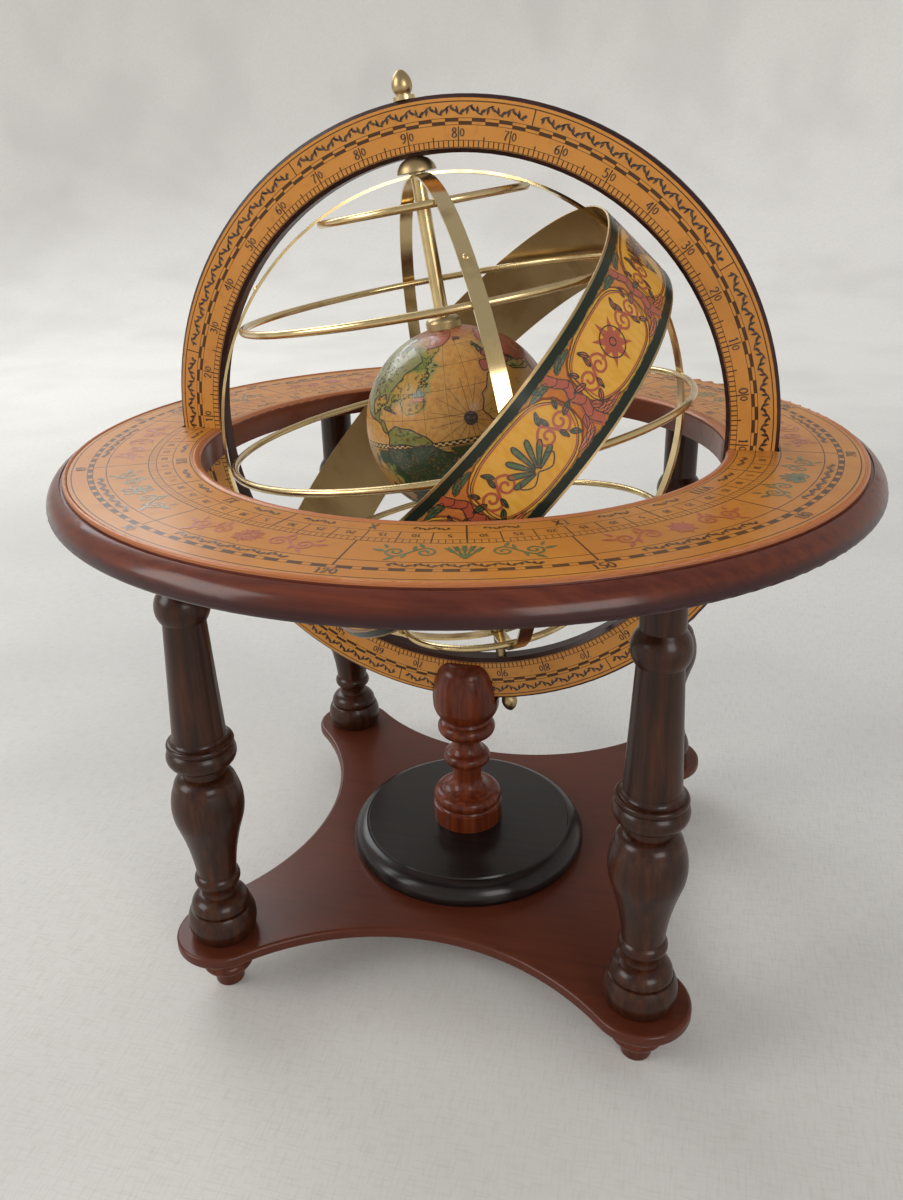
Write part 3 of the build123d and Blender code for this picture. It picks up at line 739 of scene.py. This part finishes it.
def scroll(pen, ink, reach, roll, width):
    """An S-shaped stem that rolls up at both ends."""
    half = []
    for k in range(11):
        angle = math.radians(90 + 50 * (10 - k))
        radius = roll * (0.22 + 0.78 * (k / 10) ** 1.3)
        half.append((-reach + radius * math.cos(angle), radius * math.sin(angle)))
    other = [(-x, -y) for x, y in reversed(half)]
    pen.stroke(ink, half + [(-0.45 * reach, 0.62 * roll), (0.45 * reach, -0.62 * roll)] + other, width)


def star(pen, ink, x, y, radius, arms, waist=0.4):
    """A filled star; waist is its inner radius as a share of the outer."""
    points = []
    for k in range(2 * arms):
        r = radius if k % 2 == 0 else radius * waist
        angle = math.pi / 2 + math.pi * k / arms
        points.append((x + r * math.cos(angle), y + r * math.sin(angle)))
    pen.fill(ink, points, curved=False)


def sun(pen, ink, size, line, body=None):
    """A disc with straight and wavy rays. Every emblem is drawn in one ink, and may be filled with another."""
    if body:
        pen.fill(body, circle(0, 0, 0.42 * size))
    pen.stroke(ink, circle(0, 0, 0.42 * size), line, closed=True)
    for k in range(16):
        spot = pen.at(turn=22.5 * k)
        if k % 2:
            flame = [(0.52, 0), (0.65, 0.08), (0.78, -0.06), (0.92, 0)]
            spot.stroke(ink, scaled(flame, size), line, 0.4 * line)
        else:
            for side in (1, -1):
                spot.stroke(ink, scaled([(0.50, side * 0.10), (1, 0)], size), line, 0.4 * line, curved=False)
    pen.stroke(ink, circle(0, 0, 0.20 * size, 8), line, closed=True)


def moon(pen, ink, size, line, body=None):
    """A sickle with three stars."""
    outer = [(0.25, 0.85), (-0.35, 0.72), (-0.75, 0.20), (-0.68, -0.45), (-0.15, -0.85), (0.35, -0.75)]
    inner = [(-0.05, -0.50), (-0.28, -0.05), (-0.15, 0.48)]
    sickle = scaled(outer + inner, size)
    if body:
        pen.fill(body, sickle)
    pen.stroke(ink, sickle, line, closed=True)
    for x, y, radius in ((0.35, 0.05, 0.34), (0.85, 0.55, 0.20), (0.85, -0.50, 0.20)):
        star(pen, ink, x * size, y * size, radius * size, 5)


def flower(pen, ink, size, line, body=None):
    """Six round petals."""
    for turn in range(0, 360, 60):
        spot = pen.at(turn=turn)
        petal = scaled([(0.20, 0), (0.55, 0.26), (0.95, 0.16), (1, 0), (0.95, -0.16), (0.55, -0.26)], size)
        if body:
            spot.fill(body, petal)
        spot.stroke(ink, petal, line, closed=True)
    pen.stroke(ink, circle(0, 0, 0.2 * size, 8), line, closed=True)


def palmette(pen, ink, size, line, body=None):
    """A fan of seven fronds over two curls."""
    for turn in (-75, -50, -25, 0, 25, 50, 75):
        length = size * (1.0 - 0.003 * abs(turn))
        spot = pen.at(0, -0.6 * size, 90 + turn)
        frond = [(0.15, 0), (0.7, 0.10), (1.25, 0.12), (1.4, 0), (1.2, -0.08), (0.7, -0.07)]
        frond = scaled(frond, length, size)
        if body:
            spot.fill(body, frond)
        spot.stroke(ink, frond, line, closed=True)
    for side in (-1, 1):
        curl = ((0, -0.6), (0.5, -0.85), (0.9, -0.55), (0.7, -0.35))
        pen.stroke(ink, scaled(curl, side * size, size), line)


def bright_star(pen, ink, size, line, body=None):
    """An eight-pointed star with two rings."""
    star(pen, body or ink, 0, 0, size, 8, 0.42)
    pen.stroke(ink, circle(0, 0, 0.62 * size), line, closed=True)
    pen.stroke(ink, circle(0, 0, 0.16 * size, 8), line, closed=True)


def sheaf(pen, ink, size, line, body=None):
    """Five ears of corn, tied below."""
    for turn in (-32, -16, 0, 16, 32):
        spot = pen.at(0, -0.9 * size, 90 + turn)
        spot.stroke(ink, [(0, 0), (1.0 * size, 0), (1.8 * size, 0.04 * turn / 16 * size)], line)
        for k in range(4):
            for side in (-1, 1):
                leaf(spot, body or ink, (1.05 + 0.2 * k) * size, 0, side * 32, 0.30 * size, 0.13 * size,
                     line * 0.6 if body else None)
    pen.stroke(ink, scaled([(-0.28, -0.28), (0, -0.36), (0.28, -0.28)], size), 1.6 * line)


emblems = (sun, flower, moon, palmette, bright_star, sheaf)


def spray(pen, ink, reach, height, line, leaves=None):
    """A rolled stem with leaves, beside an emblem."""
    scroll(pen, ink, 0.36 * reach, 0.30 * height, line)
    for x, y, turn, size in ((-0.30, 0.34, 60, 0.34), (-0.06, 0.16, 95, 0.30), (0.10, -0.14, -80, 0.30),
                             (0.34, -0.36, -50, 0.34), (0.62, 0.02, 15, 0.40), (0.60, 0.26, 60, 0.30)):
        leaf(pen, leaves or ink, x * reach, y * height, turn, size * height, 0.4 * size * height,
             0.5 * line if leaves else None)


def vine(pen, length, height, line, period):
    """A running stem with a leaf in every bend."""
    count = max(2, round(length / period))
    step = length / count
    stem = []
    for k in range(4 * count + 1):
        stem.append((-length / 2 + k * step / 4, (0, 1, 0, -1)[k % 4] * 0.30 * height))
    pen.stroke("dark", stem, line)
    for k in range(2 * count):
        side = 1 if k % 2 == 0 else -1
        x = -length / 2 + (k + 0.5) * step / 2
        leaf(pen, "dark", x - 0.10 * step, 0.26 * side * height, -side * 100, 0.62 * height, 0.26 * height)
        leaf(pen, "dark", x + 0.02 * step, 0.26 * side * height, -side * 45, 0.52 * height, 0.20 * height)
        leaf(pen, "dark", x - 0.02 * step, 0.28 * side * height, side * 20, 0.34 * height, 0.16 * height)


# The horizon print's drawing

months = ("I", "II", "III", "IV", "V", "VI", "VII", "VIII", "IX", "X", "XI", "XII")
first_month = 178.8             # degrees of the middle of month I, counting down by 30 a month
month_middle = 110.0            # radii that the drawing is centred on or stands at
day_middle = 116.2
figure_middle = 129.6
vine_middle = 139.5
degree_middle = 146.4
notch_half = 6.0                # the notches that the meridian ring passes through
notch_depth = 125


def in_notch(degrees, radius, half_length):
    """Whether a drawing there would reach a notch."""
    across = abs(radius * math.sin(math.radians(degrees)))
    return across < half_length + notch_half and radius < notch_depth


def draw_horizon():
    """Months and days, an emblem with sprays in each sector, running leaves and a degree scale."""
    pen = Drawing()
    for number, month in enumerate(months):
        degrees = first_month - 30 * number
        for shift in (-9.5, 0, 9.5):
            if in_notch(degrees + shift, month_middle, 4.5):
                continue
            spot = pen.on(on_horizon(degrees + shift, month_middle))
            if shift:
                vine(spot, 11.5, 3.0, 0.3, 5.0)
            else:
                write(spot, month, 3.6, 0, -1.8)
        for day in range(5, 31, 5):
            day_degrees = degrees + 15 - day + 2.5
            if not in_notch(day_degrees, day_middle, 2.5):
                write(pen.on(on_horizon(day_degrees, day_middle)), str(day), 2.2, 0, -1.1)
    for sector in range(12):
        middle = sector_start + 15 + 30 * sector
        ink = "green" if sector % 2 else "red"
        spot = pen.on(on_horizon(middle, figure_middle, -1))
        emblems[(sector * 5 + 2) % 6](spot, ink, 5.4, 0.75)
        for side in (-1, 1):
            spray(spot.at(side * 15.5, 0, flip=side), ink, 12.0, 11.0, 0.8)
        vine(pen.on(on_horizon(middle, vine_middle, -1)), 44.0, 3.4, 0.42, 7.0)
        mark = 30 * (sector + 7) % 360 or 360
        write(pen.on(on_horizon(middle - 15, degree_middle, -1)), str(mark), 3.4, 0, -1.7)
    pen.make("horizon_ink", "stand")


# The meridian print's drawing

arc_numeral = 108.4             # radii of the middles of the numerals and of the running leaves
arc_vine = 115.8


def draw_meridian(side):
    """Numerals from 0 to 90 between pole and equator, and running leaves in each zone."""
    pen = Drawing()
    for step in range(36):
        from_pole = 10 * step
        number = 90 - min(from_pole % 180, 180 - from_pole % 180)
        spot = pen.on(on_meridian(side, 90 - from_pole, arc_numeral))
        write(spot, str(number).zfill(2)[0], 3.1, -1.35, -1.5)
        write(spot, str(number).zfill(2)[1], 2.5, 1.45, -1.2)
    zones = sorted(zone_angles)
    for low, high in zip(zones, zones[1:] + [zones[0] + 360]):
        arc = math.radians(high - low) * (arc_rows[2] + arc_edge) / 2
        vine(pen.on(on_meridian(side, 90 - (low + high) / 2, arc_vine)), arc - 5.0, 4.0, 0.5, 7.4)
    pen.make("meridian_ink_front" if side < 0 else "meridian_ink_back", "meridian")


# The zodiac band's drawing

def oval(pen, ink, wide, high, line):
    """The outline of a squarish oval, a little uneven."""
    points = []
    for k in range(20):
        angle = 2 * math.pi * k / 20
        wobble = 1 + 0.03 * math.sin(5 * angle + wide)
        x = abs(math.cos(angle)) ** 0.7 * math.copysign(wide, math.cos(angle)) * wobble
        y = abs(math.sin(angle)) ** 0.8 * math.copysign(high, math.sin(angle))
        points.append((x, y))
    pen.stroke(ink, points, line, closed=True)


def bough(pen):
    """A knotted red bough with leaves, from edge to edge between two ovals."""
    knots = [(-2.5, 12.2), (-0.8, 8.6), (1.4, 5.0), (0.2, 1.2), (1.6, -2.8), (0.2, -7.0), (2.4, -12.0)]
    pen.stroke("red", knots, 3.0, 4.6)
    left = [(x - 1.6, y) for x, y in knots]
    right = [(x + 1.9, y) for x, y in knots]
    pen.stroke("dark", left, 0.35)
    pen.stroke("dark", right, 0.35)
    for x, y in knots[1:-1]:
        pen.stroke("dark", [(x - 1.7, y + 0.6), (x, y - 0.5), (x + 1.8, y + 0.5)], 0.3)
    for x, y, turn, length, ink in ((-3.0, 9.6, 150, 6.0, "leaf"), (-2.6, 10.8, 178, 8.5, "leaf"),
                                    (1.6, 9.8, 28, 6.5, "leaf"), (1.8, 11.0, 4, 9.0, "leaf"),
                                    (2.6, -8.4, -24, 7.5, "coral"), (3.0, -10.4, -2, 10.0, "coral"),
                                    (-1.6, -9.0, 205, 7.0, "coral"), (-2.0, -10.8, 182, 9.5, "coral"),
                                    (2.6, -5.2, -50, 4.5, "red"), (-1.4, -5.4, 232, 4.5, "red")):
        leaf(pen, ink, x, y, turn, length, 2.6, 0.3)


emblem_inks = ("coral", "red", "coral", "leaf", "red", "coral")


def draw_zodiac():
    """An emblem with sprays in each oval, and boughs between them."""
    pen = Drawing(grain=3.0)
    for panel in range(12):
        middle = panel_start + 15 + 30 * panel
        spot = pen.on(on_band(middle))
        oval(spot, "dark", 20.6, 11.6, 0.35)
        oval(spot, "red", 19.9, 11.0, 0.45)
        emblems[panel % 6](spot, "dark", 8.6, 0.45, emblem_inks[panel % 6])
        for side in (-1, 1):
            branch = spot.at(side * 13.2, 0, flip=side)
            spray(branch, "red", 8.5, 13.0, 0.9, "leaf" if panel % 2 else "coral")
        bough(pen.on(on_band(middle - 15)))
    pen.make("zodiac_ink", "cage")


# The ball's map: outlines in degrees of longitude and latitude

coasts = (
    ("olive", ((-168, 66), (-162, 60), (-152, 59), (-140, 60), (-130, 54), (-124, 48), (-124, 40),
               (-117, 33), (-110, 24), (-105, 20), (-96, 16), (-88, 14), (-83, 9), (-79, 8),
               (-83, 15), (-88, 16), (-87, 21), (-94, 18), (-97, 24), (-94, 29), (-84, 30),
               (-81, 25), (-80, 31), (-75, 36), (-70, 42), (-64, 45), (-56, 50), (-60, 55),
               (-66, 60), (-78, 62), (-82, 54), (-92, 58), (-90, 66), (-82, 70), (-95, 72),
               (-115, 70), (-128, 70), (-142, 70), (-156, 71))),
    ("olive", ((-79, 8), (-72, 12), (-62, 10), (-52, 5), (-49, 0.6), (-62, 0.6), (-79, 0.8))),
    ("forest", ((-80, -0.8), (-62, -0.6), (-48, -1), (-36, -6), (-38, -13), (-41, -22), (-48, -27),
                (-56, -36), (-63, -41), (-67, -48), (-69, -54), (-74, -51), (-74, -42), (-72, -30),
                (-70, -18), (-77, -12), (-81, -5))),
    ("rose", ((-55, 60), (-44, 60), (-25, 69), (-18, 76), (-35, 79), (-60, 78), (-68, 75),
              (-54, 68))),
    ("ochre", ((-6, 35), (10, 37), (20, 32), (32, 31), (37, 20), (43, 12), (51, 12), (42, 0),
               (40, -10), (35, -22), (28, -33), (19, -34), (14, -22), (12, -8), (9, 4), (-5, 5),
               (-13, 9), (-17, 15), (-15, 24), (-9, 31))),
    ("rose", ((-9, 37), (-9, 43), (-1, 44), (-4, 48), (4, 52), (9, 55), (6, 59), (8, 63), (16, 68),
              (28, 71), (42, 67), (55, 69), (72, 72), (90, 75), (110, 74), (130, 71), (150, 71),
              (170, 69), (180, 66), (170, 60), (162, 56), (156, 52), (156, 60), (142, 59),
              (135, 54), (141, 50), (132, 43), (128, 38), (122, 40), (121, 33), (121, 27),
              (113, 22), (108, 20), (109, 12), (104, 9), (100, 13), (103, 2), (98, 10), (94, 17),
              (88, 21), (80, 14), (77, 8), (73, 18), (67, 24), (57, 26), (50, 29), (56, 24),
              (58, 19), (45, 13), (39, 20), (34, 28), (35, 36), (27, 37), (23, 37), (20, 41),
              (13, 45), (17, 40), (12, 38), (9, 44), (3, 42), (-1, 37))),
    ("olive", ((114, -22), (122, -18), (130, -12), (136, -12), (141, -17), (142, -11), (146, -19),
               (153, -27), (150, -37), (144, -39), (138, -35), (130, -32), (116, -35))),
    ("olive", ((-5, 50), (1, 51), (-1, 55), (-3, 59), (-6, 57), (-4, 54))),
    ("rose", ((-23, 64), (-15, 64), (-14, 66), (-21, 67))),
    ("olive", ((44, -25), (48, -24), (50, -15), (47, -14))),
    ("ochre", ((131, 32), (136, 35), (141, 39), (142, 44), (138, 38), (132, 35))),
    ("olive", ((109, 1), (114, -4), (118, 1), (117, 7), (112, 4))),
    ("ochre", ((96, 5), (103, -1), (106, -6), (101, -4))),
    ("forest", ((131, -2), (140, -3), (148, -8), (144, -9), (137, -8), (132, -4))),
    ("ochre", ((167, -46), (173, -41), (178, -38), (175, -42), (170, -46))),
    ("ochre", ((-84, 22), (-76, 20), (-72, 19), (-80, 23))),
)
map_turn = -68                  # degrees that the map is turned about the polar axis at rest


def ship(pen, size):
    """A small sailing ship on waves."""
    hull = [(-0.6, 0), (0.62, 0.05), (0.45, -0.28), (-0.45, -0.28)]
    pen.shape("red", scaled(hull, size), 0.12, curved=False)
    for x, high in ((-0.32, 0.62), (0.05, 0.95), (0.40, 0.60)):
        pen.stroke("dark", scaled([(x, 0), (x, high)], size), 0.12, curved=False)
        sail = [(x - 0.16, 0.15), (x + 0.20, 0.15), (x + 0.26, 0.5 * high), (x + 0.12, 0.85 * high),
                (x - 0.14, 0.85 * high)]
        pen.shape("leaf", scaled(sail, size), 0.12)
    for row in range(3):
        wave = [(-0.9 + 0.2 * k, -0.36 - 0.14 * row + 0.05 * (k % 2)) for k in range(10)]
        pen.stroke("dark", scaled(wave, size), 0.10)


def compass(pen, size):
    """A yellow star on a dark disc."""
    pen.fill("dark", circle(0, 0, size))
    star(pen, "yellow", 0, 0, 0.8 * size, 8, 0.3)


def draw_globe():
    """Land with rough coasts and hills, compass stars with their rays, and ships."""
    pen = Drawing(on_map, grain=5.0)
    chance = random.Random(4)
    for ink, coast in coasts:
        rough = []
        for (x, y), (next_x, next_y) in zip(coast, coast[1:] + coast[:1]):
            rough.append((x, y))
            span = math.hypot(next_x - x, next_y - y)
            if span > 6:
                swing = 0.12 * span
                rough.append(((x + next_x) / 2 + chance.uniform(-swing, swing),
                              (y + next_y) / 2 + chance.uniform(-swing, swing)))
        pen.fill(ink, smooth(rough, True, 2), curved=False)
        pen.stroke("dark", rough, 0.75, closed=True)
        draw_hills(pen, coast, chance)
    for x, y in ((-25, 12), (150, 12), (80, -40)):
        compass(pen.on(on_globe(x, y)), 2.6)
        for ray in range(16):
            spot = pen.on(on_globe(x, y)).at(turn=22.5 * ray + 4)
            spot.stroke("dark", [(2.6 + 3.4 * k, 0) for k in range(5)], 0.12, curved=False)
    for x, y, size in ((-56, 27, 4.2), (-22, -20, 4.6), (-140, 10, 4.6), (78, -18, 4.4), (-170, 36, 4.0)):
        ship(pen.on(on_globe(x, y)), size)
    pen.make("globe_ink", "globe")


def draw_hills(pen, coast, chance):
    """Small arched marks scattered over a piece of land."""
    middle_x = sum(x for x, y in coast) / len(coast)
    middle_y = sum(y for x, y in coast) / len(coast)
    for mark in range(5 * len(coast)):
        x, y = chance.choice(coast)
        inward = chance.uniform(0.12, 0.8)
        x += (middle_x - x) * inward
        y += (middle_y - y) * inward
        spot = pen.on(on_globe(x, y))
        arch = [(-0.55, -0.1), (-0.2, 0.42), (0.25, 0.40), (0.6, -0.2)]
        spot.stroke(chance.choice(("dark", "dark", "green")), arch, 0.26, 0.12)


draw_horizon()
draw_meridian(-1)
draw_meridian(1)
draw_zodiac()
draw_globe()


# Camera, floor and light

def make_camera():
    """The photograph's own viewpoint, solved from the object's circles."""
    data = bpy.data.cameras.new("camera")
    camera = bpy.data.objects.new("camera", data)
    bpy.context.scene.collection.objects.link(camera)
    data.sensor_width = 36
    data.sensor_fit = "AUTO"
    data.lens = 30.166
    data.shift_x = 0.0110
    data.shift_y = -0.0293
    data.clip_start = 0.01
    forward = Vector((-0.23749, 0.89638, -0.37431))
    up = Vector((-0.06986, 0.36857, 0.92697))
    right = forward.cross(up)
    turn = Matrix((right, up, -forward)).transposed().to_4x4()
    camera.matrix_world = Matrix.Translation((0.090571, -0.384120, 0.321691)) @ turn
    bpy.context.scene.camera = camera


def swept(name, profile, material, around=96):
    """A surface turned about Z from (radius, height) points in metres."""
    points = []
    faces = []
    for r, z in profile:
        for k in range(around):
            a = 2 * math.pi * k / around
            points.append((r * math.cos(a), r * math.sin(a), z))
    for low in range(0, (len(profile) - 1) * around, around):
        for k in range(around):
            nxt = (k + 1) % around
            faces.append((low + k, low + nxt, low + around + nxt, low + around + k))
    mesh = bpy.data.meshes.new(name)
    mesh.from_pydata(points, [], faces)
    for face in mesh.polygons:
        face.use_smooth = True
    mesh.materials.append(material)
    piece = bpy.data.objects.new(name, mesh)
    bpy.context.scene.collection.objects.link(piece)
    return piece


def make_floor():
    """A pale linen floor, and a backdrop of it that the floor curves up into, which only the camera sees."""
    paint = Paint("linen", (0.66, 0.64, 0.60), 0.95)
    paint.set(Specular_IOR_Level=0.1)
    place = paint.coords()
    x, y = paint.split(place)[:2]
    warp = paint.noise(place, 1.1, 2, (1, 0.10, 0.10))
    weft = paint.noise(place, 1.1, 2, (0.10, 1, 1))
    paint.layer(warp.ramp(0.45, 0.75), (0.52, 0.49, 0.45), 0.40)
    paint.layer(weft.ramp(0.45, 0.75), (0.52, 0.49, 0.45), 0.40)
    # Painted shade: broad darker patches, stretched upright, stand in for the shadows of folds in the linen.
    paint.layer(paint.noise(place, 0.0045, 2, (1, 1, 0.25)).ramp(0.40, 0.70), (0.50, 0.48, 0.45), 0.35)
    seen = paint.tree.nodes.new("ShaderNodeLightPath")
    camera_ray = Val(paint.tree, seen.outputs["Is Camera Ray"])
    bright_ray = camera_ray.either(Val(paint.tree, seen.outputs["Is Glossy Ray"]))
    bright_ray = bright_ray.either(Val(paint.tree, seen.outputs["Is Transmission Ray"]))
    far = (x * x + y * y).op("SQRT").ramp(150, 1700, 0.06, 0.42)
    paint.tree.links.new((bright_ray * far).socket, paint.shader.inputs["Emission Strength"])
    paint.tree.links.new(paint.colour, paint.shader.inputs["Emission Color"])
    pale = paint.done()
    swept("floor", [(0.0001, 0.0), (0.8, 0.0), (1.6, 0.0)], pale)
    rise = [(1.6, 0.0)]
    for step in range(1, 13):
        angle = math.pi / 2 * step / 12
        rise.append((1.6 + 1.2 * math.sin(angle), 1.2 - 1.2 * math.cos(angle)))
    rise.append((2.8, 3.0))
    backdrop = swept("backdrop", rise, pale)
    backdrop.visible_diffuse = False
    backdrop.visible_shadow = False


def area_light(name, place, target, size, power, colour):
    """A soft lamp that faces its target."""
    data = bpy.data.lights.new(name, "AREA")
    data.shape = "RECTANGLE"
    data.size = size[0]
    data.size_y = size[1]
    data.energy = power
    data.color = colour
    light = bpy.data.objects.new(name, data)
    bpy.context.scene.collection.objects.link(light)
    light.location = place
    light.rotation_euler = (Vector(target) - Vector(place)).to_track_quat("-Z", "Y").to_euler()


def make_light():
    """A studio sky that is bright above and dim low down, and three soft lamps."""
    world = bpy.data.worlds.new("studio")
    bpy.context.scene.world = world
    world.use_nodes = True
    tree = world.node_tree
    background = tree.nodes["Background"]
    place = tree.nodes.new("ShaderNodeTexCoord").outputs["Generated"]
    split = tree.nodes.new("ShaderNodeSeparateXYZ")
    tree.links.new(place, split.inputs[0])
    height = Val(tree, split.outputs[2]).ramp(-0.15, 0.55)
    mix = tree.nodes.new("ShaderNodeMix")
    mix.data_type = "RGBA"
    tree.links.new(height.socket, mix.inputs["Factor"])
    mix.inputs["A"].default_value = (0.20, 0.19, 0.18, 1)
    mix.inputs["B"].default_value = (0.60, 0.61, 0.63, 1)
    tree.links.new(mix.outputs["Result"], background.inputs["Color"])
    background.inputs["Strength"].default_value = 0.75
    area_light("window", (-1.2, 1.0, 1.3), (0, 0, 0.2), (1.1, 1.1), 15, (0.94, 0.97, 1.0))
    area_light("left", (-1.5, -0.9, 1.0), (0, 0, 0.2), (1.0, 1.0), 17, (1.0, 0.99, 0.97))
    area_light("right", (1.2, -1.4, 0.9), (0, 0, 0.2), (0.9, 0.9), 13, (1.0, 0.98, 0.95))


make_camera()
make_floor()
make_light()

bpy.context.scene.view_settings.view_transform = "Standard"
